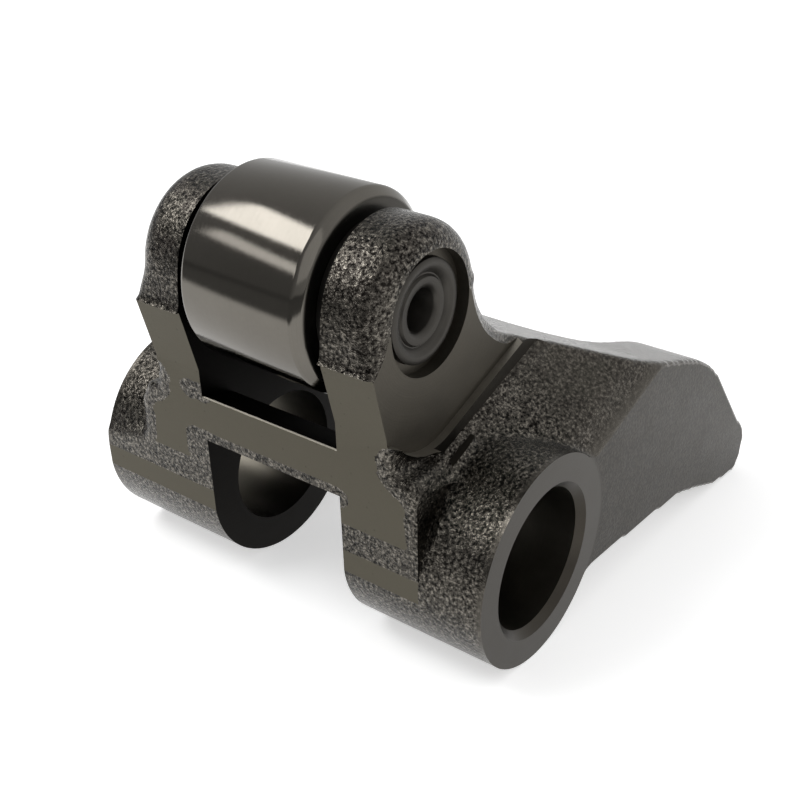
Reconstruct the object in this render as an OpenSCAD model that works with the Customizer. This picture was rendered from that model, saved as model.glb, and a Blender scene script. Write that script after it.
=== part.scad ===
// Roller rocker arm with a forked tail.
// The Y axis is the rocker shaft, X runs from the roller towards the valves, Z is up.
// The arm rests on its two shaft lugs and on the toes of its two tails.

/* [Shaft lugs] */
// Diameter of the bore for the rocker shaft
shaft_bore_d = 18; // [15:0.5:20]
// Outside diameter of the two lugs
lug_d = 27; // [25:0.5:29]
// Width over the outer faces of the two lugs
lug_span = 60; // [56:1:68]
// Chamfer at the outer mouths of the shaft bore
bore_chamfer = 1; // [0.4:0.1:2]
// Clearance round the shaft under the bridge between the lugs
shaft_clearance = 2; // [1:0.25:3]

/* [Roller] */
// Outside diameter of the roller
roller_d = 24; // [21:0.5:26]
// Width of the roller
roller_w = 18; // [15:0.5:21]
// Chamfer on the ends of the roller
roller_chamfer = 1.1; // [0.4:0.1:1.8]
// Distance of the roller axis ahead of the shaft axis
roller_ahead = 8.3; // [6:0.1:10]
// Height of the roller axis above the shaft axis
roller_rise = 30.4; // [29:0.1:34]

/* [Roller bearing] */
// Diameter of the roller pin
pin_d = 11; // [10:0.25:11.5]
// Diameter of the hole through the roller pin
pin_hole_d = 5; // [3:0.1:5.5]
// Diameter of one needle
needle_d = 2.5; // [2:0.1:2.6]
// Gap between neighbouring needles on their pitch circle
needle_gap = 0.12; // [0.05:0.01:0.3]
// Running clearance between pin, needles and roller
needle_play = 0.03; // [0.02:0.01:0.05]
// Thickness of the two thrust washers
washer_t = 1.4; // [1:0.1:2]
// Outside diameter of the thrust washers
washer_d = 18; // [17:0.5:19]
// Side play between each washer and the roller
side_play = 0.1; // [0.05:0.01:0.2]

/* [Ears] */
// Thickness of each ear at the pin
ear_t = 7.2; // [6:0.2:9]
// Outside diameter of the ears round the pin
ear_d = 20.1; // [18:0.5:22]
// Rounding of the outer edge of the ears
ear_edge = 3.1; // [1:0.1:4]
// Diameter of the recess round the pin end
recess_d = 14.4; // [13.4:0.2:15]
// Depth of the recess round the pin end
recess_depth = 1.6; // [0.8:0.1:2.4]
// Height of the staked rim of the pin above the floor of its recess
stake_h = 0.9; // [0.4:0.1:1.4]
// Flare of the staked pin end inside the mouth of its hole
stake_flare = 0.6; // [0.3:0.1:0.9]
// Radius of the blend between the ears and the tails
ear_blend = 14; // [10:0.5:16]

/* [Bridge between the lugs] */
// Distance of the front flat ahead of the shaft axis, at the throat under the ears
bridge_front = 15.5; // [15:0.1:16.8]
// Height of the lower face of the bridge above the shaft axis
bridge_low = 7.8; // [5:0.2:9]
// Thickness of the strap across the front of the bridge
strap_t = 5.8; // [4.2:0.1:6.2]
// Distance from the strap back to the rear half of the bridge
window_l = 14; // [11:0.5:15]
// Gap between the roller and the top of the bridge
pocket_gap = 5.6; // [3:0.1:6]
// Distance from the shaft axis to the root of the fork
fork_root = 22; // [19:0.5:26]
// Corner radius at the root of the fork
fork_corner = 9; // [3:0.5:9]

/* [Tails] */
// Thickness of each tail
tail_t = 10.5; // [8:0.5:12]
// Distance from the shaft axis to the tip of the tails
tail_reach = 63.6; // [58:0.2:72]
// Distance from the shaft axis to the dip in the back of the tails
dip_x = 25; // [23:0.5:27]
// Height of the dip in the back of the tails
dip_z = 17.1; // [16:0.1:18.5]
// Distance of the crown of the tails in front of their tip
crown_back = 19.7; // [18:0.1:22]
// Height of the crown corner of the tails, before it is rounded
crown_z = 11.7; // [10.5:0.1:13]
// Radius of the crown of the tails
crown_r = 30; // [15:1:40]
// Depth of the belly of the tails below the shaft axis
belly = 7.6; // [6:0.2:9]
// Height of the nose block at the tip of the tails
nose_h = 7.4; // [5:0.2:9]
// Length of the valve pad under the nose block
pad_l = 15; // [11:0.5:18]
// Radius of the crowned valve pad
pad_r = 34; // [26:1:40]

/* [Shoulders] */
// Height of the milled side of the ears at its lowest point
flat_low = 14.2; // [13.8:0.1:14.8]
// Radius of the cutter that mills the low end of the side of each ear
mill_r = 9; // [7:0.25:11]
// Slope of the step behind the milled side, in degrees
step_slope = 22.5; // [18:0.5:25]
// Height of the step from the milled side out to the land
step_h = 1; // [0.8:0.1:1.8]
// Width of the flat land between the step and the forged shoulder
step_land = 1.5; // [0.8:0.1:2.2]
// Fall of the forged shoulder from the land out towards the lug face, in degrees
shoulder_fall = 31; // [27:1:36]
// Width of the rounding between the shoulder and the side of the tail
shoulder_round = 2.2; // [1:0.1:3]
// Height of the ledge beside the neck, at the front
ledge_z = 13; // [12:0.1:13.4]
// Distance of the outer edge of the ledge from the middle
ledge_out = 20.4; // [19.6:0.1:20.8]
// Flare of the forged neck between its milled side and the ledge
neck_flare = 0.7; // [0.4:0.1:1]
// Half width of the trimmed front flat
trim_w = 21.2; // [19:0.2:26]
// Height at which the trimmed flat runs out at the end of the far lug
trim_end_h = 2.5; // [1:0.25:4]

/* [Hidden] */
$fn = 96;

needle_count = 16;
// Overshoot of cutters past the faces that they open
bite = 0.5;
// Length that reaches past the whole part
far = 200;
// Depth by which the blend between ear and tail dips into the ear, so that they cross
blend_dip = 0.03;
// Drop of the chin of each ear, and of the throat under it, below the pin
chin_drop = 4.6;
throat_drop = 12.7;
// Place of the point, ahead of the dip and above it, from which the back of the tail runs down
back_lead = 14;
back_rise = 4.7;
// Turn of the fading edges of the ears, in degrees, and the share of the blend that the rear one takes
fade_turn = 78;
back_fade = 0.6;
// Fall of the outer side of the front gusset, and the place where the tail sits on the lug, in degrees
gusset_fall = 63;
wedge_seat = 140;

forged_grey = [0.30, 0.29, 0.27];
ground_steel = [0.62, 0.62, 0.60];
pin_steel = [0.42, 0.40, 0.38];
washer_steel = [0.36, 0.35, 0.34];
needle_steel = [0.70, 0.70, 0.70];

lug_r = lug_d / 2;
bore_r = shaft_bore_d / 2;
roller_r = roller_d / 2;
pin_r = pin_d / 2;
ear_r = ear_d / 2;
ear_hub = [-roller_ahead, roller_rise];

slot_w = roller_w + 2 * (washer_t + side_play);
slot_face = slot_w / 2;
ear_face = slot_face + ear_t;
lug_face = lug_span / 2;
tail_inner = lug_face - tail_t;
step_face = ear_face + step_h;

needle_r = needle_d / 2;
pitch_r = max(pin_r + needle_play + needle_r,
              (needle_d + needle_gap) / (2 * sin(180 / needle_count)));
roller_bore_r = pitch_r + needle_r + needle_play;

// Unit vector and angle helpers for the outlines, which lie in the XZ plane
function unit(v) = v / norm(v);
function heading(v) = atan2(v[1], v[0]);
function turn(a) = a > 180 ? a - 360 : a < -180 ? a + 360 : a;

// Points of the arc that rounds corner b between a and c, limited by the shorter side
function corner_arc(a, b, c, r, steps = 8) =
    let (u = unit(a - b), v = unit(c - b), half = acos(u * v) / 2,
         run = min(r / tan(half), 0.48 * min(norm(a - b), norm(c - b))),
         radius = run * tan(half), hub = b + unit(u + v) * radius / sin(half),
         from = heading(b + u * run - hub), sweep = turn(heading(b + v * run - hub) - from))
    [for (i = [0 : steps]) hub + radius * [cos(from + sweep * i / steps), sin(from + sweep * i / steps)]];

// Closed outline from corners [x, z, radius]; a corner of radius 0 stays sharp
function rounded(corners) =
    let (n = len(corners), at = function (i) [corners[(i + n) % n][0], corners[(i + n) % n][1]])
    [for (i = [0 : n - 1]) each corners[i][2] == 0 ? [at(i)]
        : corner_arc(at(i - 1), at(i), at(i + 1), corners[i][2])];

// Centre of the arc that blends the ear into the back of the tail; it dips a hair into the ear
back_from = [dip_x - back_lead, dip_z + back_rise];
back_run = unit([dip_x, dip_z] - back_from);
back_up = [-back_run[1], back_run[0]];
ear_above = (ear_hub - [dip_x, dip_z]) * back_up;
blend_hub = ear_hub + back_up * (ear_blend - ear_above)
    + back_run * sqrt(pow(ear_r + ear_blend - blend_dip, 2) - pow(ear_blend - ear_above, 2));
blend_on_ear = ear_hub + unit(blend_hub - ear_hub) * ear_r;
blend_on_back = blend_hub - back_up * ear_blend;

// The side of the ear is milled in an arc below the pin, and then along the line of a step
mill_hub = [ear_hub[0], flat_low + mill_r];
step_run = [cos(step_slope), sin(step_slope)];
step_down = [step_run[1], -step_run[0]];
step_start = mill_hub + mill_r * step_down;
land_start = step_start + step_land * step_down;
shoulder_end = land_start + (lug_face - shoulder_round - step_face) * tan(shoulder_fall) * step_down;
// The tail starts under the arc, and its end falls from there onto the lug
wedge_start = step_start - mill_r / 3 * step_run;
wedge_foot = lug_r * [cos(wedge_seat), sin(wedge_seat)];

// Outline of one tail, along its back to the nose and along its belly to the lug
crown = [tail_reach - crown_back, crown_z];
nose_top = [tail_reach - 1.3, nose_h - lug_r];
toe_x = tail_reach - 2.6;
pad_heel = [toe_x - pad_l, -lug_r + pad_l * pad_l / (2 * pad_r)];
neck_low = -belly + 0.6;
tail_outline = rounded([
    [blend_on_back[0], blend_on_back[1], 0],
    [dip_x, dip_z, 20],
    [crown[0], crown[1], crown_r],
    [nose_top[0] - 3.2, nose_top[1] + 2.9, 6],
    [nose_top[0], nose_top[1], 1.2],
    [tail_reach, nose_top[1] - 2, 1.2],
    [tail_reach - 0.4, -lug_r + 2, 1.2],
    [toe_x + 0.6, -lug_r, 0.8],
    [toe_x, -lug_r, 0],
    [toe_x - pad_l / 2, -lug_r + pad_l * pad_l / (8 * pad_r), 0],
    [pad_heel[0], pad_heel[1], 2],
    [pad_heel[0] - 7, -belly - 0.7, 12],
    [lug_r - 2, neck_low, 0],
    [0, neck_low, 0],
    [wedge_foot[0], wedge_foot[1], 0],
    [wedge_start[0], wedge_start[1], 0]
]);

module both_sides() {
    children();
    mirror([0, 1, 0]) children();
}

// Carries a shape drawn in the XZ plane from y0 out to y1
module across(y0, y1) {
    translate([0, y1, 0]) rotate([90, 0, 0]) linear_extrude(y1 - y0) children();
}

// A round bar along Y, centred on an XZ point
module bar(hub, r, y0, y1) {
    across(y0, y1) translate(hub) circle(r);
}

// Everything above the plane that passes through an XZ line at depth y0 and falls outwards
module above_ramp(from, run, y0, fall) {
    translate([from[0], y0, from[1]])
        rotate([0, -heading(run), 0])
            rotate([-fall, 0, 0])
                translate([-far / 2, -far / 2, 0]) cube([far, far, far]);
}

// Section of the cutter that rounds an edge whose corner lies at the origin
module edge_section(r) {
    translate([-r, -r])
        difference() {
            square([r + bite, r + bite]);
            circle(r);
        }
}

// Turns a section about an XZ hub at depth y, between two angles above +X
module ring(hub, low, high, y = 0) {
    translate([hub[0], y, hub[1]])
        rotate([-90, 0, 0])
            rotate([0, 0, -high])
                rotate_extrude(angle = high - low) children();
}

module lug() {
    bar([0, 0], lug_r, 0, lug_face);
}

// Ear round the pin, with its forged outer edge rounded
module ear_disc() {
    translate([ear_hub[0], 0, ear_hub[1]])
        rotate([-90, 0, 0])
            rotate_extrude()
                difference() {
                    square([ear_r, ear_face]);
                    translate([ear_r, ear_face]) edge_section(ear_edge);
                }
}

// Cutter that carries the rounding on from the rim of the ear and lets it fade within a distance
module edge_fade(angle, reach, low, high) {
    radius = reach * reach / (2 * ear_edge);
    ring(ear_hub + (ear_r + radius) * [cos(angle), sin(angle)], low, high, ear_face)
        translate([radius, 0]) mirror([1, 0]) edge_section(ear_edge);
}

// The front of the neck runs from the throat, at the top of the front flat, up to the chin of the ear
chin = [ear_hub[0] - ear_r, ear_hub[1] - chin_drop];
throat = [-bridge_front, ear_hub[1] - throat_drop];

// Neck that carries the ear on its lug and runs back into the tail
module neck() {
    back = heading(blend_hub - ear_hub);
    difference() {
        across(0, ear_face)
            difference() {
                polygon([
                    [-lug_r, 0], throat, chin, [chin[0], ear_hub[1]],
                    ear_hub, blend_on_ear, blend_on_back, [dip_x, dip_z], [dip_x, neck_low], [0, neck_low]
                ]);
                translate(blend_hub) circle(ear_blend);
            }
        edge_fade(180, chin_drop, -fade_turn, 0);
        edge_fade(back, back_fade * ear_blend, back + 180, back + 180 + fade_turn);
    }
}

// Tail with the flat land behind the step, and the forged shoulder that falls from it to the side
module tail() {
    across(0, step_face)
        polygon(tail_outline);
    difference() {
        across(0, lug_face)
            polygon(tail_outline);
        above_ramp(land_start, step_run, step_face, shoulder_fall);
        above_ramp(shoulder_end, step_run, lug_face - shoulder_round, (shoulder_fall + 90) / 2);
    }
}

// Side view of the front below the ears, one flat that leans back from the throat to the lugs
module front_section() {
    polygon([[-lug_r, 0], throat, [0, throat[1]], [0, 0]]);
}

// Front view of one side of the front: flared neck, ledge and steep outer side
module gusset_section() {
    wall_top = throat[1] - neck_flare;
    polygon([
        [0, 0], [0, wall_top], [ear_face, wall_top], [ear_face + neck_flare, ledge_z],
        [ledge_out, ledge_z], [ledge_out + ledge_z / tan(gusset_fall), 0]
    ]);
}

// Gusset between the neck and the front of the lug, under the milled side of the ear.
// Behind the milled arc it ends a little below the line of the step, where the tail takes over.
module gusset() {
    sunk = bite / 2 * step_down;
    tail_side = step_start - step_run + sunk;
    intersection() {
        across(0, lug_face) front_section();
        translate([-bridge_front, 0, 0])
            rotate([90, 0, 90])
                linear_extrude(bridge_front) gusset_section();
        difference() {
            linear_extrude(throat[1])
                polygon([
                    [-bridge_front, 0], [-bridge_front, trim_w], [0, trim_w + bridge_front / 2], [0, 0]
                ]);
            bar(mill_hub, mill_r, ear_face, lug_face);
            across(ear_face, lug_face)
                polygon([tail_side, blend_on_back + sunk, [blend_on_back[0], far], [tail_side[0], far]]);
        }
    }
}

// Strip of the trimmed flat that runs on to the end of the far lug
module far_trim() {
    intersection() {
        across(0, lug_face) front_section();
        translate([-bridge_front, 0, 0])
            rotate([90, 0, 90])
                linear_extrude(bridge_front)
                    polygon([
                        [0, 0], [lug_face, 0], [lug_face, trim_end_h],
                        [trim_w, 2 * trim_end_h], [0, 2 * trim_end_h]
                    ]);
    }
}

// Slot between the two halves. It leaves the bridge, with its strap, its window and its rear half.
module slot() {
    across(-slot_face, slot_face) {
        translate(ear_hub) circle(roller_r + pocket_gap);
        translate([-far, ear_hub[1]]) square([2 * far, far]);
        translate([-bridge_front + strap_t, 0]) square([window_l, ear_hub[1]]);
        translate([-far, bridge_low - far]) square([2 * far, far]);
        circle(bore_r + shaft_clearance);
    }
}

// Gap between the two tails, rounded at the root of the fork
module fork_gap() {
    translate([0, 0, -far / 2])
        linear_extrude(far)
            polygon(rounded([
                [fork_root, -tail_inner, fork_corner], [fork_root, tail_inner, fork_corner],
                [far, tail_inner, 0], [far, -tail_inner, 0]
            ]));
}

module shaft_bore() {
    bar([0, 0], bore_r, -lug_face - bite, lug_face + bite);
    both_sides()
        rotate([-90, 0, 0])
            rotate_extrude()
                polygon([
                    [0, lug_face - bore_chamfer], [bore_r, lug_face - bore_chamfer],
                    [bore_r + bore_chamfer + bite, lug_face + bite], [0, lug_face + bite]
                ]);
}

// Hole for the pin with a flared mouth, and the recess round it
module pin_seat() {
    bar(ear_hub, pin_r, -ear_face - bite, ear_face + bite);
    both_sides() {
        bar(ear_hub, recess_d / 2, ear_face - recess_depth, ear_face + bite);
        translate([ear_hub[0], 0, ear_hub[1]])
            rotate([-90, 0, 0])
                rotate_extrude()
                    polygon(pin_flare(ear_face - recess_depth));
    }
}

function pin_flare(y) = [
    [0, y - stake_flare], [pin_r, y - stake_flare], [pin_r + stake_flare, y], [0, y]
];

module arm_body() {
    color(forged_grey)
        difference() {
            union() {
                both_sides() {
                    lug();
                    ear_disc();
                    neck();
                    gusset();
                    tail();
                }
                far_trim();
            }
            slot();
            fork_gap();
            shaft_bore();
            pin_seat();
        }
}

module roller() {
    half = roller_w / 2;
    rim = roller_r - roller_chamfer;
    color(ground_steel)
        translate([ear_hub[0], 0, ear_hub[1]])
            rotate([-90, 0, 0])
                rotate_extrude()
                    polygon([
                        [roller_bore_r, -half], [rim, -half], [roller_r, -half + roller_chamfer],
                        [roller_r, half - roller_chamfer], [rim, half], [roller_bore_r, half]
                    ]);
}

// Hollow pin, staked at both ends into the ears
module roller_pin() {
    floor_y = ear_face - recess_depth;
    hole_r = pin_hole_d / 2;
    rim_r = pin_r + stake_flare;
    top_y = floor_y + stake_h;
    half = [
        [hole_r, 0], [pin_r, 0], [pin_r, floor_y - stake_flare], [rim_r, floor_y],
        [rim_r - 0.2, top_y - 0.2], [rim_r - 0.7, top_y], [pin_r - 1.2, top_y - 0.7],
        [hole_r + 1.6, top_y - 0.7], [hole_r + 1.3, top_y - 0.3], [hole_r + 0.7, top_y - 0.3],
        [hole_r, top_y - 1]
    ];
    color(pin_steel)
        translate([ear_hub[0], 0, ear_hub[1]])
            both_sides()
                rotate([-90, 0, 0])
                    rotate_extrude() polygon(half);
}

module thrust_washer(side) {
    y0 = roller_w / 2 + side_play;
    color(washer_steel)
        translate([ear_hub[0], 0, ear_hub[1]])
            mirror([0, side < 0 ? 1 : 0, 0])
                across(y0, y0 + washer_t)
                    difference() {
                        circle(washer_d / 2);
                        circle(pin_r + needle_play);
                    }
}

module needle(index) {
    angle = index * 360 / needle_count;
    half = roller_w / 2 - side_play;
    hub = ear_hub + pitch_r * [cos(angle), sin(angle)];
    color(needle_steel) bar(hub, needle_r, -half, half);
}

arm_body();
roller();
roller_pin();
thrust_washer(-1);  // thrust_washer_near
thrust_washer(1);  // thrust_washer_far
for (i = [0 : needle_count - 1])
    needle(i);
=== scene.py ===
# Looks of the roller rocker arm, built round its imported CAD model.
# The file is laid out as a Blender add-on and is run as a script.
# Millimetre figures are written as 10.5 * MM, since every length in the scene is in metres.
import math

import bpy
import bmesh
from mathutils import Matrix, Vector


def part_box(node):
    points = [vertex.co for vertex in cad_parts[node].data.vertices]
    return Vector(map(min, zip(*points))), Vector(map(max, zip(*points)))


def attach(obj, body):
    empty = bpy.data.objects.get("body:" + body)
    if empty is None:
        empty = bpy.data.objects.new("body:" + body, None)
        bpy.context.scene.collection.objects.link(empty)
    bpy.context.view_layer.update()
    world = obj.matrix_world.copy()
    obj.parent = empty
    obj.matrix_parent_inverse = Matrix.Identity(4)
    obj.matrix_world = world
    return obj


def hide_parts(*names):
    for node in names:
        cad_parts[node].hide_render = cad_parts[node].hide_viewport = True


bl_info = {
    "name": "Roller rocker arm",
    "version": (1, 0, 0),
    "blender": (4, 5, 0),
    "location": "3D View > Sidebar > Rocker arm",
    "description": "Dresses the packed rocker arm as a shot blasted and machined forging with a ground roller",
    "category": "Object",
}

MM = 0.001
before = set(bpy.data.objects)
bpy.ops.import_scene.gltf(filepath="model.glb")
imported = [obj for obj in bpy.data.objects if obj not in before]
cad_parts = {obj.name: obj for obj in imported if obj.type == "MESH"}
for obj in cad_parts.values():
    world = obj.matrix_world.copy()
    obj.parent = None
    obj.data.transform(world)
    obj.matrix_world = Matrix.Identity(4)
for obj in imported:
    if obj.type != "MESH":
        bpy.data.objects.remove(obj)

ARM_LOW, ARM_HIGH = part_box("arm_body")
ROLLER_LOW, ROLLER_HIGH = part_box("roller")
PIN_LOW, PIN_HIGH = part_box("roller_pin")
WASHER_LOW, WASHER_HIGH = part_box("thrust_washer_far")
NEEDLES = sorted(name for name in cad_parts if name.startswith("needle_"))

# The roller's axis runs along Y through this point of the XZ plane
HUB = Vector(((ROLLER_LOW.x + ROLLER_HIGH.x) / 2, 0, (ROLLER_LOW.z + ROLLER_HIGH.z) / 2))
SHAFT = Vector((0, 0, 0))

# Direction of the softboxes' long sides
LAMP_LEAN = (0.45, 1, 0.24)


class RockerSizes(bpy.types.PropertyGroup):
    """Sizes of the machined features and of the softened forging"""

    lug_face: bpy.props.FloatProperty(
        name="Lug face", description="Distance of the outer lug faces from the middle",
        default=ARM_HIGH.y, unit="LENGTH")
    slot_face: bpy.props.FloatProperty(
        name="Slot face", description="Distance of the inner faces of the slot from the middle",
        default=WASHER_HIGH.y, unit="LENGTH")
    ear_face: bpy.props.FloatProperty(
        name="Ear face", description="Distance of the milled sides of the ears from the middle",
        default=17.7 * MM, unit="LENGTH")
    bore_radius: bpy.props.FloatProperty(
        name="Bore radius", description="Radius of the bore for the rocker shaft",
        default=9 * MM, unit="LENGTH")
    bore_chamfer: bpy.props.FloatProperty(
        name="Bore chamfer", description="Chamfer at the outer mouths of the shaft bore",
        default=1 * MM, unit="LENGTH")
    pin_radius: bpy.props.FloatProperty(
        name="Pin radius", description="Radius of the pin hole through the ears",
        default=5.5 * MM, unit="LENGTH")
    recess_radius: bpy.props.FloatProperty(
        name="Recess radius", description="Radius of the recess round each pin end",
        default=7.2 * MM, unit="LENGTH")
    recess_depth: bpy.props.FloatProperty(
        name="Recess depth", description="Depth of the recess round each pin end",
        default=1.6 * MM, unit="LENGTH")
    lug_radius: bpy.props.FloatProperty(
        name="Lug radius", description="Radius of the two lugs round the shaft bore",
        default=13.5 * MM, unit="LENGTH")
    mill_radius: bpy.props.FloatProperty(
        name="Mill radius", description="Radius of the milled arc below each ear",
        default=9 * MM, unit="LENGTH")
    mill_low: bpy.props.FloatProperty(
        name="Mill low point", description="Height of the lowest point of the milled arc",
        default=14.2 * MM, unit="LENGTH")
    step_slope: bpy.props.FloatProperty(
        name="Step slope", description="Slope of the step behind the milled side",
        default=math.radians(22.5), subtype="ANGLE")
    step_end: bpy.props.FloatVectorProperty(
        name="Step end", description="Where the step meets the back of the tail, ahead and up, in the side view",
        default=(10.79 * MM, 0, 21.87 * MM), subtype="XYZ", unit="LENGTH")
    land_face: bpy.props.FloatProperty(
        name="Land face", description="Distance of the flat land behind the step from the middle",
        default=18.7 * MM, unit="LENGTH")
    land_width: bpy.props.FloatProperty(
        name="Land width", description="Width of the flat land behind the step",
        default=1.5 * MM, unit="LENGTH")
    shoulder_fall: bpy.props.FloatProperty(
        name="Shoulder fall", description="Fall of the forged shoulder from the land outwards",
        default=math.radians(31), subtype="ANGLE")
    throat: bpy.props.FloatVectorProperty(
        name="Throat", description="Top of the trimmed front flat, under the ears",
        default=(-15.5 * MM, 0, 17.7 * MM), subtype="XYZ", unit="LENGTH")
    chin: bpy.props.FloatVectorProperty(
        name="Chin", description="Top of the trimmed front of the necks, at the ears",
        default=(-18.35 * MM, 0, 25.8 * MM), subtype="XYZ", unit="LENGTH")
    bridge_low: bpy.props.FloatProperty(
        name="Bridge low", description="Height of the lower face of the bridge",
        default=7.8 * MM, unit="LENGTH")
    strap_width: bpy.props.FloatProperty(
        name="Strap", description="Thickness of the strap across the front",
        default=5.8 * MM, unit="LENGTH")
    window: bpy.props.FloatProperty(
        name="Window", description="Length of the window behind the strap",
        default=14 * MM, unit="LENGTH")
    pocket_radius: bpy.props.FloatProperty(
        name="Pocket radius", description="Radius of the pocket in which the roller turns",
        default=17.6 * MM, unit="LENGTH")
    shaft_clearance: bpy.props.FloatProperty(
        name="Shaft clearance", description="Radius cleared round the shaft under the bridge",
        default=11 * MM, unit="LENGTH")
    trim_end: bpy.props.FloatProperty(
        name="Trim end", description="Where the trimmed front ends on the near lug, from the middle",
        default=21.4 * MM, unit="LENGTH")
    allowance: bpy.props.FloatProperty(
        name="Allowance", description="Stock left on machined faces before they are cut",
        default=2 * MM, unit="LENGTH")
    voxel: bpy.props.FloatProperty(
        name="Voxel", description="Grid size at which the forging is softened",
        default=0.5 * MM, unit="LENGTH", precision=5)
    softness: bpy.props.IntProperty(
        name="Softness", description="Smoothing passes that round the forging's edges and roots",
        default=8)


class RockerColours(bpy.types.PropertyGroup):
    """Base colours of the finishes"""

    forged: bpy.props.FloatVectorProperty(
        name="Forged skin", description="Shot blasted skin of the forging",
        default=(0.084, 0.077, 0.066), subtype="COLOR")
    trimmed: bpy.props.FloatVectorProperty(
        name="Trimmed flat", description="Trimmed front flat and strap",
        default=(0.104, 0.095, 0.073), subtype="COLOR")
    milled: bpy.props.FloatVectorProperty(
        name="Milled sides", description="Milled ear sides, steps and slot",
        default=(0.086, 0.078, 0.064), subtype="COLOR")
    # Near black colour for the walls of the roller's pocket, slot, bridge window and room round the shaft:
    # painted shade
    slot: bpy.props.FloatVectorProperty(
        name="Slot", description="Oil darkened walls of the roller's slot and of the bridge window",
        default=(0.008, 0.007, 0.006), subtype="COLOR")
    # Light colour of the step wall and the strap's edge: a painted highlight, as if lit from above
    wall: bpy.props.FloatVectorProperty(
        name="Step wall", description="Fresh cut wall of the step and edge of the strap",
        default=(0.22, 0.205, 0.175), subtype="COLOR")
    # Dark colour of the land behind the step: painted shade
    land: bpy.props.FloatVectorProperty(
        name="Step land", description="Narrow land behind the step",
        default=(0.040, 0.036, 0.030), subtype="COLOR")
    bored: bpy.props.FloatVectorProperty(
        name="Bored faces", description="Bores and faced lug ends",
        default=(0.048, 0.043, 0.036), subtype="COLOR")
    bore: bpy.props.FloatVectorProperty(
        name="Shaft bore", description="Running surface of the shaft bore and of the pin holes",
        default=(0.115, 0.106, 0.088), subtype="COLOR")
    ground: bpy.props.FloatVectorProperty(
        name="Ground steel", description="Running surface of the roller",
        default=(0.130, 0.121, 0.106), subtype="COLOR")
    pin: bpy.props.FloatVectorProperty(
        name="Pin steel", description="Staked roller pin",
        default=(0.060, 0.056, 0.050), subtype="COLOR")
    washer: bpy.props.FloatVectorProperty(
        name="Washer steel", description="Blued thrust washers",
        default=(0.050, 0.048, 0.045), subtype="COLOR")
    needle: bpy.props.FloatVectorProperty(
        name="Needle steel", description="Polished bearing needles",
        default=(0.45, 0.44, 0.42), subtype="COLOR")
    floor: bpy.props.FloatVectorProperty(
        name="Floor", description="Plain pale floor",
        default=(0.93, 0.93, 0.93), subtype="COLOR")


def sizes():
    return bpy.context.scene.rocker_sizes


def colours():
    return bpy.context.scene.rocker_colours


class Level:
    """A value inside a material, which adds Math nodes when it is used in an expression"""

    def __init__(self, finish, socket):
        self.finish = finish
        self.socket = socket

    def math(self, operation, first, second=0.0, clamp=False):
        return self.finish.level(
            "ShaderNodeMath", {"operation": operation, "use_clamp": clamp}, {0: first, 1: second})

    def __add__(self, other):
        return self.math("ADD", self, other)

    __radd__ = __add__

    def __mul__(self, other):
        return self.math("MULTIPLY", self, other)

    __rmul__ = __mul__

    def __sub__(self, other):
        return self.math("SUBTRACT", self, other)

    def __rsub__(self, other):
        return self.math("SUBTRACT", other, self)

    def __truediv__(self, other):
        return self.math("DIVIDE", self, other)

    def __abs__(self):
        return self.math("ABSOLUTE", self)

    def __pow__(self, other):
        return self.math("POWER", self, other)

    def clamped(self):
        return self.math("ADD", self, 0.0, clamp=True)


class Nodes:
    """A node tree with the coordinates that its patterns read"""

    def __init__(self, tree, coordinates):
        self.tree = tree
        self.place = self.node("ShaderNodeTexCoord").outputs[coordinates]

    def node(self, kind, settings=None, inputs=None):
        """Adds a node, sets its settings, then its sockets' values or links"""
        made = self.tree.nodes.new(kind)
        for key, value in (settings or {}).items():
            setattr(made, key, value)
        for key, value in (inputs or {}).items():
            self.feed(made.inputs[key], value)
        return made

    def feed(self, socket, value):
        """Links or sets one socket"""
        if isinstance(value, Level):
            value = value.socket
        if isinstance(value, bpy.types.NodeSocket):
            self.tree.links.new(value, socket)
        else:
            socket.default_value = value

    def level(self, kind, settings=None, inputs=None, output=0):
        return Level(self, self.node(kind, settings, inputs).outputs[output])

    def shade(self, colour, change):
        """The colour made lighter or darker by a value round 1"""
        tint = self.node("ShaderNodeVectorMath", {"operation": "SCALE"}, {0: colour[:3], "Scale": change})
        return tint.outputs[0]

    def axes(self):
        """The three coordinates, each as a value"""
        apart = self.node("ShaderNodeSeparateXYZ", inputs={"Vector": self.place})
        return [Level(self, apart.outputs[index]) for index in range(3)]


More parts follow.
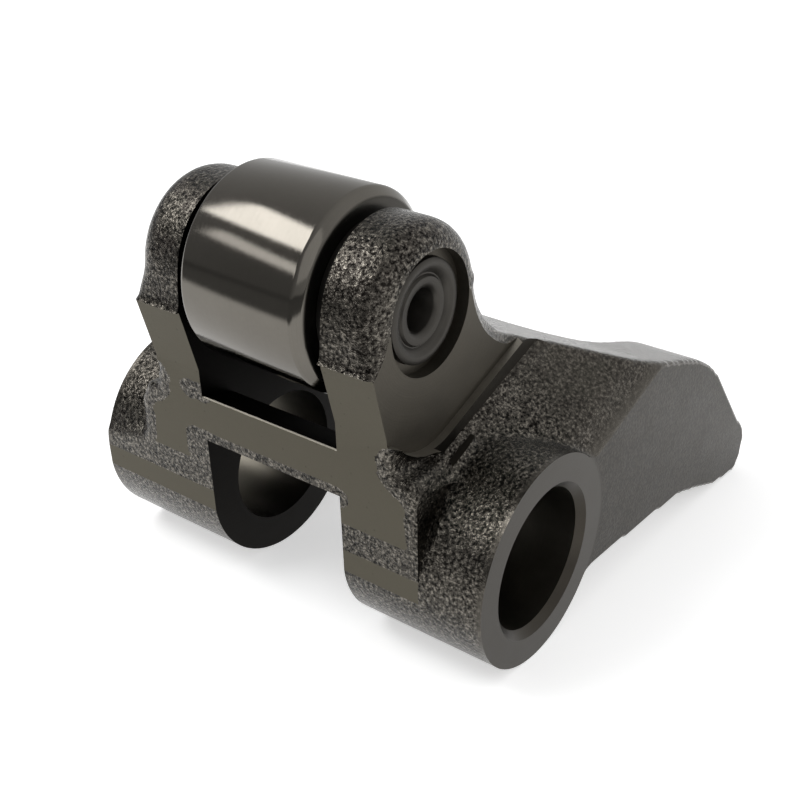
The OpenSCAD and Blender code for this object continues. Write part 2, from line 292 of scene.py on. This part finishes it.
class Finish(Nodes):
    """One procedural material, with its shader and its Object coordinates"""

    def __init__(self, name):
        self.material = bpy.data.materials.new(name)
        self.material.use_nodes = True
        super().__init__(self.material.node_tree, "Object")
        self.shader = self.tree.nodes["Principled BSDF"]

    def noise(self, grain, detail=2.0, roughness=0.5):
        """Noise whose lumps are about one grain across, in metres"""
        return self.level("ShaderNodeTexNoise", {}, {
            "Vector": self.place, "Scale": 1 / grain, "Detail": detail, "Roughness": roughness})

    def strands(self, along, grain, detail=2.0, roughness=0.5):
        """Noise that changes along one value only, such as turning marks"""
        return self.level("ShaderNodeTexNoise", {"noise_dimensions": "1D"}, {
            "W": along, "Scale": 1 / grain, "Detail": detail, "Roughness": roughness})

    def cells(self, grain):
        """Cells about one grain across, from 0 at their middle"""
        return self.level("ShaderNodeTexVoronoi", {}, {"Vector": self.place, "Scale": 1 / grain})

    def between(self, value, low, high):
        """0 below low and 1 above high, with a soft passage"""
        return self.level("ShaderNodeMapRange", {"interpolation_type": "SMOOTHSTEP"}, {
            "Value": value, "From Min": low, "From Max": high})

    def bump(self, height, depth, strength=1.0, normal=None):
        inputs = {"Height": height, "Distance": depth, "Strength": strength}
        if normal is not None:
            inputs["Normal"] = normal
        return self.node("ShaderNodeBump", {}, inputs).outputs[0]

    def dress(self, colour, roughness, normal=None, metallic=1.0):
        self.feed(self.shader.inputs["Base Color"], colour)
        self.feed(self.shader.inputs["Roughness"], roughness)
        self.shader.inputs["Metallic"].default_value = metallic
        if normal is not None:
            self.feed(self.shader.inputs["Normal"], normal)
        return self.material

    def radial(self, hub):
        """Distance from an axis along Y through the hub, and the distance along that axis"""
        x, y, z = self.axes()
        across = x - hub.x
        upward = z - hub.z
        return (across * across + upward * upward) ** 0.5, y


def forged_skin():
    """Shot blasted skin: packed dents whose crests are painted lighter as glints and whose hollows are painted
    darker as shade, calmer on the sides of the tails
    """
    finish = Finish("forged_skin")
    x, y, z = finish.axes()
    side = finish.between(abs(y), 28.9 * MM, 29.7 * MM)
    tail = finish.between(x, 4 * MM, 14 * MM)
    coarse = (1 - side * 0.65) * (1 - tail * 0.42)
    lumps = finish.noise(0.42 * MM, 2.0, 0.6)
    grit = finish.noise(0.20 * MM, 2.0, 0.6)
    patches = finish.noise(6 * MM, 2.0)
    # Colour lighter on the crests is a painted glint; colour darker in the hollows is painted shade
    painted_glint_crest = finish.between(lumps + (grit - 0.5) * 0.6, 0.53, 0.68)
    painted_shade_pit = finish.between(lumps, 0.37, 0.50)
    change = 0.96 + (painted_shade_pit * 0.60 + painted_glint_crest * 1.5 - 0.85) * coarse + (patches - 0.5) * 0.35
    normal = finish.bump(lumps + grit * 0.6, 0.11 * MM, coarse)
    return finish.dress(finish.shade(colours().forged, change), 0.25 - painted_glint_crest * 0.10 * coarse, normal)


def trimmed_flat():
    """Sheared and blasted flat: matt, with a faint mottle and a few pits"""
    finish = Finish("trimmed_flat")
    mottle = finish.noise(2.2 * MM, 4.0, 0.6)
    grit = finish.noise(0.20 * MM, 2.0)
    pits = finish.between(finish.cells(1.6 * MM), 0.05, 0.12)
    change = (0.84 + mottle * 0.22 + grit * 0.10) * (0.80 + pits * 0.20)
    normal = finish.bump(grit * 0.6 + mottle * 0.4 + pits * 0.5, 0.02 * MM, 0.7)
    return finish.dress(finish.shade(colours().trimmed, change), 0.52 + mottle * 0.12, normal)


def milled_side(name, colour):
    """End milled steel: fine arcs round the pin over a cloudy scale"""
    finish = Finish(name)
    radius, along = finish.radial(HUB)
    arcs = finish.strands(radius, 0.22 * MM)
    cloud = finish.noise(3.5 * MM, 3.0, 0.6)
    grit = finish.noise(0.25 * MM, 2.0)
    change = 0.70 + arcs * 0.14 + cloud * 0.32 + grit * 0.14
    normal = finish.bump(arcs * 0.6 + grit * 0.5, 0.02 * MM, 0.6)
    return finish.dress(finish.shade(colour, change), 0.40 + cloud * 0.16, normal)


def bored_face(name, colour):
    """Turned and bored steel with fine rings, a blasted speckle beyond the lug's ring, and painted shade deep
    inside the bore
    """
    finish = Finish(name)
    radius, along = finish.radial(SHAFT)
    rings = finish.strands(radius + along, 0.18 * MM)
    cloud = finish.noise(4 * MM, 3.0, 0.6)
    speck = finish.noise(0.32 * MM, 2.0, 0.6)
    beyond = finish.between(radius, 13.4 * MM, 14.4 * MM)
    spots = finish.between(speck, 0.44, 0.60)
    # Colour darker deep inside the bore, away from its mouths: painted shade
    mouth = finish.between(abs(along), 14 * MM, 25 * MM)
    plain = 0.78 + cloud * 0.28 + rings * 0.16 * (1 - beyond) + (spots * 0.50 - 0.28) * beyond
    change = plain * (0.12 + mouth * 0.88)
    normal = finish.bump(rings * (1 - beyond) + speck * 6 * beyond, 0.012 * MM, 0.6)
    return finish.dress(finish.shade(colour, change), 0.30 + cloud * 0.12 + beyond * 0.08, normal)


def ground_roller():
    """Ground running surface: hair lines round the roller and a few handling marks; its end faces are painted
    darker as shade
    """
    finish = Finish("ground_roller")
    radius, along = finish.radial(HUB)
    rim = ROLLER_HIGH.z - HUB.z
    hair = finish.strands(along, 0.12 * MM, 3.0, 0.7)
    marks = finish.noise(0.5 * MM, 3.0, 0.65)
    cloud = finish.noise(4 * MM, 2.0)
    # The end faces are painted darker, as the shade in the narrow gap beside the ears, and made rougher
    face = 1 - finish.between(radius, rim - 1.2 * MM, rim - 0.9 * MM)
    change = (0.80 + hair * 0.16 + marks * 0.12 + cloud * 0.12) * (1 - face * 0.6)
    normal = finish.bump(hair * 0.7 + marks * 0.5, 0.006 * MM, 0.7)
    return finish.dress(finish.shade(colours().ground, change), 0.07 + marks * 0.06 + face * 0.24, normal)


def turned_pin():
    """Turned and staked pin end: faint rings round the pin, darker in their grooves"""
    finish = Finish("turned_pin")
    radius, along = finish.radial(HUB)
    rings = finish.strands(radius, 0.30 * MM)
    cloud = finish.noise(1.6 * MM, 3.0, 0.6)
    change = 0.66 + rings * 0.30 + cloud * 0.34
    normal = finish.bump(rings * 0.8 + cloud * 0.3, 0.02 * MM, 0.7)
    return finish.dress(finish.shade(colours().pin, change), 0.38 + cloud * 0.16, normal)


def plain_steel(name, colour, roughness, grain):
    """Hardened steel with a fine lapped grain"""
    finish = Finish(name)
    cloud = finish.noise(2 * MM, 2.0)
    grit = finish.noise(grain, 2.0)
    change = 0.82 + cloud * 0.2 + grit * 0.14
    normal = finish.bump(grit, 0.008 * MM, 0.5)
    return finish.dress(finish.shade(colour, change), roughness + cloud * 0.08, normal)


def let_go():
    """Leaves nothing selected"""
    if bpy.context.object is not None and bpy.context.object.mode != "OBJECT":
        bpy.ops.object.mode_set(mode="OBJECT")
    bpy.ops.object.select_all(action="DESELECT")


def pick(piece):
    """Makes one object the only one selected, and active"""
    let_go()
    piece.select_set(True)
    bpy.context.view_layer.objects.active = piece
    return piece


def settle(piece):
    """Moves an object's place, turn and scale into its mesh"""
    pick(piece)
    bpy.ops.object.transform_apply(location=True, rotation=True, scale=True)
    return piece


def bar(name, hub, radius, low, high, corners=160):
    """A round bar along Y through an XZ hub, from low to high"""
    let_go()
    bpy.ops.mesh.primitive_cylinder_add(
        vertices=corners, radius=radius, depth=high - low, end_fill_type="NGON",
        location=(hub.x, (low + high) / 2, hub.z), rotation=(math.radians(90), 0, 0))
    made = bpy.context.object
    made.name = name
    return settle(made)


def block(name, low, high):
    """A rectangular block between two corners"""
    let_go()
    low, high = Vector(low), Vector(high)
    bpy.ops.mesh.primitive_cube_add(size=1, location=(low + high) / 2, scale=high - low)
    made = bpy.context.object
    made.name = name
    return settle(made)


def prism(name, corners, travel):
    """A prism: a circle is laid on flat corners and then extruded along one direction"""
    let_go()
    bpy.ops.mesh.primitive_circle_add(vertices=len(corners), radius=1, fill_type="NGON")
    made = bpy.context.object
    made.name = name
    for vertex, corner in zip(made.data.vertices, corners):
        vertex.co = corner
    bpy.ops.object.mode_set(mode="EDIT")
    bpy.ops.mesh.select_all(action="SELECT")
    bpy.ops.mesh.extrude_region_move(TRANSFORM_OT_translate={"value": travel})
    bpy.ops.mesh.select_all(action="SELECT")
    bpy.ops.mesh.normals_make_consistent(inside=False)
    bpy.ops.object.mode_set(mode="OBJECT")
    return made


def slab(name, outline, low, high):
    """A slab along Y with an outline in the side view"""
    return prism(name, [(x, low, z) for x, z in outline], (0, high - low, 0))


def turned(name, profile, hub, steps=180):
    """A turned piece: a closed outline of (radius, y) points is spun about the Y axis through the hub"""
    let_go()
    bpy.ops.mesh.primitive_circle_add(vertices=len(profile), radius=1, fill_type="NOTHING")
    made = bpy.context.object
    made.name = name
    for vertex, (radius, along) in zip(made.data.vertices, profile):
        vertex.co = (hub.x + radius, along, hub.z)
    bpy.ops.object.mode_set(mode="EDIT")
    bpy.ops.mesh.select_all(action="SELECT")
    bpy.ops.mesh.spin(steps=steps, angle=2 * math.pi, center=hub, axis=(0, 1, 0))
    bpy.ops.mesh.select_all(action="SELECT")
    bpy.ops.mesh.remove_doubles(threshold=0.0005 * MM)
    bpy.ops.mesh.normals_make_consistent(inside=False)
    bpy.ops.object.mode_set(mode="OBJECT")
    return made


def finish_edges(piece, angle):
    """Smooth shading that breaks at sharp edges"""
    pick(piece)
    bpy.ops.object.shade_smooth_by_angle(angle=math.radians(angle))


def wear(piece, materials, index=0):
    """Gives a piece its list of materials, with all its faces on one of them"""
    piece.data.materials.clear()
    for material in materials:
        piece.data.materials.append(material)
    for face in piece.data.polygons:
        face.material_index = index


def modify(piece, kind, **settings):
    """Adds one modifier, sets it and applies it"""
    pick(piece)
    made = piece.modifiers.new(kind.lower(), kind)
    for key, value in settings.items():
        setattr(made, key, value)
    bpy.ops.object.modifier_apply(modifier=made.name)


def cut(piece, cutter):
    """Cuts a machined feature; its faces keep the cutter's finish"""
    faces = len(piece.data.polygons)
    modify(piece, "BOOLEAN", operation="DIFFERENCE", solver="MANIFOLD", object=cutter)
    if len(piece.data.polygons) in (0, faces):
        raise RuntimeError("the cut " + cutter.name + " changed nothing")
    bpy.data.objects.remove(cutter)


def grow(piece, along, place, allowance, tolerance=0.006 * MM):
    """Extrudes the flat faces that lie at one distance along a direction, as machining stock"""
    pick(piece)
    along = Vector(along)
    bpy.ops.object.mode_set(mode="EDIT")
    bpy.ops.mesh.select_all(action="DESELECT")
    mesh = bmesh.from_edit_mesh(piece.data)
    for face in mesh.faces:
        flat = face.normal.dot(along) > 0.999
        face.select = flat and all(abs(v.co.dot(along) - place) < tolerance for v in face.verts)
    found = sum(face.select for face in mesh.faces)
    mesh.select_flush(True)
    bmesh.update_edit_mesh(piece.data)
    if found == 0:
        raise RuntimeError("no face lies at " + str(place))
    bpy.ops.mesh.extrude_region_move(TRANSFORM_OT_translate={"value": along * allowance})
    bpy.ops.object.mode_set(mode="OBJECT")


# The slot, step wall and step land finishes carry painted light: painted shade in the slot, a painted highlight
# on the step wall, painted shade on the land
FORGED, TRIMMED, MILLED, FACED, SHADED, PAINTED_HIGHLIGHT_WALL, PAINTED_SHADE_LAND, BORED = range(8)


def forging_blank(size):
    """The forging before machining: the CAD solid with stock on its machined faces, softened all over"""
    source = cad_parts["arm_body"]
    blank = source.copy()
    blank.data = source.data.copy()
    bpy.context.scene.collection.objects.link(blank)
    blank.parent = None
    blank.name = "forged_arm"
    for key in list(blank.keys()):
        del blank[key]
    pick(blank)
    bpy.ops.object.mode_set(mode="EDIT")
    bpy.ops.mesh.select_all(action="SELECT")
    bpy.ops.mesh.remove_doubles(threshold=0.0005 * MM)
    bpy.ops.mesh.customdata_custom_splitnormals_clear()
    bpy.ops.object.mode_set(mode="OBJECT")
    foot = Vector((-size.lug_radius, 0, 0))
    for side in (-1, 1):
        grow(blank, (0, side, 0), size.land_face, size.allowance)
        grow(blank, (0, side, 0), size.ear_face, size.allowance)
    for low, high in ((foot, Vector(size.throat)), (Vector(size.throat), Vector(size.chin))):
        outward = (high - low).cross(Vector((0, 1, 0))).normalized()
        if outward.x > 0:
            outward = -outward
        grow(blank, outward, outward.dot(low), size.allowance)
    grow(blank, (0, 1, 0), -size.slot_face, 2 * size.slot_face + size.allowance)
    stock = size.lug_face + size.allowance
    fillers = [
        bar("lug_stock", SHAFT, size.lug_radius, -stock, stock),
        bar("pin_filler", HUB, size.recess_radius + 1 * MM, -size.ear_face + 1 * MM, size.ear_face - 1 * MM),
        bar("recess_filler", HUB, size.recess_radius - 0.3 * MM, -size.ear_face, size.ear_face),
    ]
    let_go()
    for filler in fillers:
        filler.select_set(True)
    blank.select_set(True)
    bpy.context.view_layer.objects.active = blank
    bpy.ops.object.join()
    modify(blank, "REMESH", mode="VOXEL", voxel_size=size.voxel, adaptivity=0.0)
    modify(blank, "SMOOTH", factor=0.5, iterations=size.softness)
    return blank


def step_line(size):
    """Start and end of the step in the side view, and the direction that points down from it"""
    down = Vector((math.sin(size.step_slope), -math.cos(size.step_slope)))
    hub = Vector((HUB.x, size.mill_low + size.mill_radius))
    return hub, hub + size.mill_radius * down, Vector((size.step_end[0], size.step_end[2])), down


def mill_outline(size):
    """Side view of what the milling cutter sweeps: an arc below the pin and the line of the step"""
    hub, start, end, down = step_line(size)
    steps = 40
    last = math.atan2(start.y - hub.y, start.x - hub.x)
    front = size.throat[2] - 0.7 * MM
    first = math.asin((hub.y - front) / size.mill_radius) - math.pi
    arc = [
        (hub.x + size.mill_radius * math.cos(first + (last - first) * i / steps),
         hub.y + size.mill_radius * math.sin(first + (last - first) * i / steps))
        for i in range(steps + 1)
    ]
    reach = 80 * MM
    past = end + (end - start).normalized() * reach
    return arc + [(past.x, past.y), (past.x, past.y + reach), (-reach, past.y + reach), (-reach, front)]


def lug_front(size):
    """Side view of the room in front of the near lug's round, beside the end of the trimmed front"""
    arc = [(size.lug_radius * math.cos(math.radians(a)), size.lug_radius * math.sin(math.radians(a)))
           for a in range(195, 124, -5)]
    reach = 2 * size.lug_radius
    return arc + [(-reach, arc[-1][1]), (-reach, arc[0][1])]


def strap_edge(size, foot, throat):
    """Side view of the small chamfer where the roller's pocket meets the trimmed front"""
    run = (throat - foot).normalized()
    wide = 0.22 * MM
    from_hub = foot - HUB
    half = from_hub.dot(run)
    edge = foot + run * (-half - math.sqrt(half * half - from_hub.length_squared + size.pocket_radius ** 2))
    tangent = (edge - HUB).cross(Vector((0, 1, 0))).normalized()
    if tangent.x < 0:
        tangent = -tangent
    low = edge - run * wide
    inner = edge + tangent * wide
    out = edge - (low + inner - 2 * edge)
    return [(point.x, point.z) for point in (low, inner, out)]


def machine(blank, size, finishes):
    """Cuts every machined feature of the arm out of its blank"""
    far = 100 * MM
    slot = size.slot_face
    over = size.allowance + 3 * MM
    skin = 0.02 * MM
    facing = 0.05 * MM
    hub, start, end, down = step_line(size)
    run = Vector((-down.y, down.x))

    def take(cutter, index):
        wear(cutter, finishes, index)
        cut(blank, cutter)

    def both(low, high):
        return [tuple(sorted((side * low, side * high))) for side in (-1, 1)]

    land = start + size.land_width * down
    lead = run * size.mill_radius / 3
    reach = 60 * MM
    for side in (-1, 1):
        face = side * size.land_face
        for wide, begin in ((1.2 * MM, land - lead), (2.1 * MM, land + run * 2.2 * MM)):
            outer = face + side * wide
            sunk = begin + down * wide * math.tan(size.shoulder_fall)
            high = begin - down * reach
            take(prism("shoulder_trim", [
                (begin.x, face, begin.y), (sunk.x, outer, sunk.y), (high.x, outer, high.y),
                (high.x, face, high.y)], (run.x * reach, 0, run.y * reach)), FORGED)
    brow = start - down * MM
    band = [brow - lead, brow + run * reach, land + run * reach, land - lead]
    # The land behind the step gets the painted shade colour
    for low, high in both(size.land_face - skin, size.lug_face + over):
        take(slab("land", [tuple(point) for point in band], low, high), PAINTED_SHADE_LAND)
    for low, high in both(size.ear_face - skin, size.lug_face + over):
        cutter = slab("ear_milling", mill_outline(size), low, high)
        wear(cutter, finishes, MILLED)
        # Faces of the cutter that become the step's wall get the painted highlight colour
        for face in cutter.data.polygons:
            if abs(face.normal.y) < 0.5:
                face.material_index = PAINTED_HIGHLIGHT_WALL
        cut(blank, cutter)
    for low, high in both(size.ear_face - size.recess_depth, size.ear_face + over):
        take(bar("pin_recess", HUB, size.recess_radius, low, high), MILLED)
    for low, high in both(size.lug_face - facing, size.lug_face + over):
        take(block("side_facing", (-far, low, -far), (far, high, far)), FACED)
    foot = Vector((-size.lug_radius, 0, 0))
    throat = Vector(size.throat)
    chin = Vector(size.chin)
    sunk = foot - 0.2 * (throat - foot)
    ahead = Vector((-over, 0, 0))
    corners = [chin, throat, sunk, sunk + ahead, throat + ahead, chin + ahead]
    take(slab("front_trimming", [(point.x, point.z) for point in corners], -size.trim_end, far), TRIMMED)
    take(slab("trim_end", lug_front(size), -size.trim_end - 1.4 * MM, -size.trim_end), FORGED)
    # Pocket, slot, window and room round the shaft get the near black painted shade colour
    take(bar("roller_pocket", HUB, size.pocket_radius, -slot, slot), SHADED)
    take(block("slot_top", (-far, -slot, HUB.z), (far, slot, far)), SHADED)
    behind_strap = throat.x + size.strap_width
    take(block("bridge_window", (behind_strap, -slot, 0), (behind_strap + size.window, slot, HUB.z + 1 * MM)),
         SHADED)
    take(block("under_bridge", (-far, -slot, -far), (far, slot, size.bridge_low)), SHADED)
    take(bar("shaft_room", SHAFT, size.shaft_clearance, -slot, slot), SHADED)
    # The strap's edge gets the painted highlight colour
    take(slab("strap_edge", strap_edge(size, foot, throat), -slot, slot), PAINTED_HIGHLIGHT_WALL)
    take(bar("shaft_bore", SHAFT, size.bore_radius, -far, far), BORED)
    take(bar("pin_hole", HUB, size.pin_radius, -far, far), BORED)
    for side in (-1, 1):
        mouth = side * size.lug_face
        inner = size.bore_radius
        depth = size.bore_chamfer
        take(turned("bore_mouth", [
            (0.001 * MM, mouth - side * depth), (inner, mouth - side * depth),
            (inner + 2 * depth, mouth + side * depth), (0.001 * MM, mouth + side * depth)], SHAFT), FACED)


def part_finishes(piece):
    """Merges the corners that a cut left doubled, and keeps the shading apart where two finishes meet"""
    pick(piece)
    bpy.ops.object.mode_set(mode="EDIT")
    bpy.ops.mesh.select_all(action="SELECT")
    bpy.ops.mesh.remove_doubles(threshold=0.002 * MM)
    bpy.ops.mesh.select_all(action="DESELECT")
    bpy.ops.mesh.select_mode(type="EDGE")
    mesh = bmesh.from_edit_mesh(piece.data)
    for edge in mesh.edges:
        edge.select = len({face.material_index for face in edge.link_faces}) > 1
    bmesh.update_edit_mesh(piece.data)
    bpy.ops.mesh.mark_sharp()
    bpy.ops.mesh.select_mode(type="VERT")
    bpy.ops.object.mode_set(mode="OBJECT")


class ROCKER_OT_forged_arm(bpy.types.Operator):
    """Forged and machined arm body with its ears, lugs and forked tails"""

    bl_idname = "rocker.forged_arm"
    bl_label = "Forged arm"

    def execute(self, context):
        size = sizes()
        colour = colours()
        finishes = [
            forged_skin(), trimmed_flat(), milled_side("milled_side", colour.milled),
            bored_face("faced_end", colour.bored),
            # Slot, step wall and step land reuse the milled finish with painted shade and painted highlight
            # colours
            milled_side("painted_shade_slot", colour.slot), milled_side("painted_highlight_step_wall", colour.wall),
            milled_side("step_land", colour.land), bored_face("shaft_bore", colour.bore)]
        arm = forging_blank(size)
        wear(arm, finishes, FORGED)
        machine(arm, size, finishes)
        part_finishes(arm)
        finish_edges(arm, 32)
        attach(arm, "arm")
        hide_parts("arm_body")
        return {"FINISHED"}


class ROCKER_OT_roller(bpy.types.Operator):
    """Ground roller with rounded chamfers"""

    bl_idname = "rocker.roller"
    bl_label = "Roller"

    def execute(self, context):
        half = ROLLER_HIGH.y
        rim = ROLLER_HIGH.z - HUB.z
        bore = 8.06 * MM
        chamfer = 1.1 * MM
        edge = 0.25 * MM
        corners = [
            (bore, -half), (rim - chamfer - edge, -half), (rim - chamfer, -half + 0.05 * MM),
            (rim - chamfer + edge, -half + edge), (rim - edge, -half + chamfer - edge),
            (rim - 0.05 * MM, -half + chamfer), (rim, -half + chamfer + edge)]
        profile = corners + [(radius, -along) for radius, along in reversed(corners)]
        roller = turned("ground_roller_ring", profile, HUB, 256)
        wear(roller, [ground_roller()])
        finish_edges(roller, 40)
        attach(roller, "roller")
        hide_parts("roller")
        return {"FINISHED"}


class ROCKER_OT_pin(bpy.types.Operator):
    """Hollow pin, staked at both ends"""

    bl_idname = "rocker.pin"
    bl_label = "Roller pin"

    def execute(self, context):
        size = sizes()
        end = PIN_HIGH.y
        floor = size.ear_face - size.recess_depth
        hole = 2.5 * MM
        rim = size.pin_radius
        half = [
            (hole, end - 1.0 * MM), (hole + 0.25 * MM, end - 0.6 * MM), (hole + 0.7 * MM, end - 0.42 * MM),
            (hole + 1.35 * MM, end - 0.42 * MM), (hole + 1.6 * MM, end - 0.75 * MM),
            (rim - 1.25 * MM, end - 0.75 * MM), (rim - 0.75 * MM, end - 0.2 * MM), (rim - 0.25 * MM, end),
            (rim + 0.25 * MM, end - 0.02 * MM), (rim + 0.5 * MM, end - 0.2 * MM), (rim + 0.58 * MM, floor),
            (rim, floor - 0.6 * MM)]
        profile = half + [(radius, -along) for radius, along in reversed(half)]
        pin = turned("staked_pin", profile, HUB, 128)
        wear(pin, [turned_pin()])
        finish_edges(pin, 40)
        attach(pin, "arm")
        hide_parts("roller_pin")
        return {"FINISHED"}


class ROCKER_OT_bearing(bpy.types.Operator):
    """Finish of the thrust washers and of the bearing needles"""

    bl_idname = "rocker.bearing"
    bl_label = "Washers and needles"

    def execute(self, context):
        washer = plain_steel("blued_washer", colours().washer, 0.36, 0.2 * MM)
        needle = plain_steel("polished_needle", colours().needle, 0.16, 0.12 * MM)
        for name in ("thrust_washer_near", "thrust_washer_far"):
            wear(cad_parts[name], [washer])
        for name in NEEDLES:
            wear(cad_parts[name], [needle])
        return {"FINISHED"}


class ROCKER_OT_stage(bpy.types.Operator):
    """Pale floor, soft lamps and the camera"""

    bl_idname = "rocker.stage"
    bl_label = "Stage"

    def execute(self, context):
        let_go()
        bpy.ops.mesh.primitive_circle_add(
            vertices=96, radius=3, fill_type="NGON", location=(0, 0, ARM_LOW.z - 0.02 * MM))
        floor = settle(bpy.context.object)
        floor.name = "floor"
        wear(floor, [pale_floor()])
        plain_world()
        for name, place, wide, deep, power in (
                ("key_upper", (-0.250, 0.313, 0.482), 0.42, 0.20, 1.6),
                ("key_lower", (-0.448, 0.313, 0.290), 0.42, 0.08, 0.26),
                ("fill", (-0.35, -0.55, 0.40), 0.5, 0.5, 0.4)):
            lamp(name, place, wide, deep, power)
        photograph_camera()
        return {"FINISHED"}


def pale_floor():
    """Pale floor that shows as near white and keeps the shadow; in mirror rays it turns dark ahead of the arm, a
    painted dark reflection
    """
    finish = Finish("pale_floor")
    mottle = finish.noise(60 * MM, 2.0)
    rays = finish.node("ShaderNodeLightPath")
    mirrored = Level(finish, rays.outputs["Is Glossy Ray"])
    seen = (Level(finish, rays.outputs["Is Camera Ray"]) + mirrored
            + Level(finish, rays.outputs["Is Transmission Ray"])).clamped()
    # Seen in mirror rays the floor turns dark ahead of the arm: a painted dark reflection on the metal
    ahead = -1 * finish.axes()[0]
    painted_dark_reflection = 1 - finish.between(ahead, 100 * MM, 125 * MM) * mirrored * 0.85
    finish.dress(finish.shade(colours().floor, (0.985 + mottle * 0.03) * painted_dark_reflection), 0.9, None, 0.0)
    finish.shader.inputs["Specular IOR Level"].default_value = 0.0
    finish.feed(finish.shader.inputs["Emission Color"], finish.shade((1, 1, 1), seen * painted_dark_reflection * 0.50))
    finish.shader.inputs["Emission Strength"].default_value = 1.0
    return finish.material


def plain_world():
    """Even room light, paler behind the arm and at its near side"""
    world = bpy.data.worlds.new("studio")
    bpy.context.scene.world = world
    world.use_nodes = True
    tree = world.node_tree
    room = Nodes(tree, "Generated")
    x, y, z = room.axes()
    level = 0.58 + x * 0.30 - y * 0.16
    room.feed(tree.nodes["Background"].inputs["Color"], room.shade((1, 1, 1), level))
    tree.nodes["Background"].inputs["Strength"].default_value = 1.0


def lamp(name, place, wide, deep, power):
    """A rectangular softbox that faces the roller, with its long side nearly along Y"""
    light = bpy.data.lights.new(name, "AREA")
    light.shape = "RECTANGLE"
    light.size = deep
    light.size_y = wide
    light.energy = power
    made = bpy.data.objects.new(name, light)
    bpy.context.scene.collection.objects.link(made)
    place = Vector(place)
    back = (place - HUB).normalized()
    along = Vector(LAMP_LEAN)
    across = along.cross(back).normalized()
    along = back.cross(across)
    turn = Matrix((across, along, back)).transposed().to_4x4()
    turn.translation = place
    made.matrix_world = turn


def photograph_camera():
    """Camera at the photograph's angle, for a square image"""
    camera = bpy.data.cameras.new("camera")
    camera.sensor_width = 36
    camera.lens = 55.334
    camera.clip_start = 0.005
    made = bpy.data.objects.new("camera", camera)
    bpy.context.scene.collection.objects.link(made)
    azimuth, elevation, roll = (math.radians(a) for a in (-54.5761, 25.7161, 2.6484))
    back = Vector((
        math.sin(azimuth) * math.cos(elevation), -math.cos(azimuth) * math.cos(elevation), math.sin(elevation)))
    right = Vector((0, 0, 1)).cross(back).normalized()
    up = back.cross(right)
    turn = Matrix((
        math.cos(roll) * right + math.sin(roll) * up,
        math.cos(roll) * up - math.sin(roll) * right, back)).transposed().to_4x4()
    turn.translation = Vector((-109.959, -86.333, 79.062)) * MM
    made.matrix_world = turn
    bpy.context.scene.camera = made


class ROCKER_PT_panel(bpy.types.Panel):
    """Sidebar panel with the pieces in the order in which they are made"""

    bl_idname = "ROCKER_PT_panel"
    bl_label = "Rocker arm"
    bl_space_type = "VIEW_3D"
    bl_region_type = "UI"
    bl_category = "Rocker arm"

    def draw(self, context):
        for operator in OPERATORS:
            self.layout.operator(operator.bl_idname)
        for group in (sizes(), colours()):
            box = self.layout.box()
            for name in group.bl_rna.properties.keys():
                if name not in ("rna_type", "name"):
                    box.prop(group, name)


OPERATORS = (
    ROCKER_OT_stage, ROCKER_OT_forged_arm, ROCKER_OT_roller, ROCKER_OT_pin, ROCKER_OT_bearing)
CLASSES = (RockerSizes, RockerColours) + OPERATORS + (ROCKER_PT_panel,)


def register():
    for kind in CLASSES:
        bpy.utils.register_class(kind)
    bpy.types.Scene.rocker_sizes = bpy.props.PointerProperty(type=RockerSizes)
    bpy.types.Scene.rocker_colours = bpy.props.PointerProperty(type=RockerColours)


def unregister():
    del bpy.types.Scene.rocker_sizes
    del bpy.types.Scene.rocker_colours
    for kind in reversed(CLASSES):
        bpy.utils.unregister_class(kind)


def main():
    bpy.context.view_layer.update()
    register()
    bpy.ops.rocker.stage()
    bpy.ops.rocker.forged_arm()
    bpy.ops.rocker.roller()
    bpy.ops.rocker.pin()
    bpy.ops.rocker.bearing()
    scene = bpy.context.scene
    scene.view_settings.view_transform = "Standard"


if __name__ == "__main__":
    main()
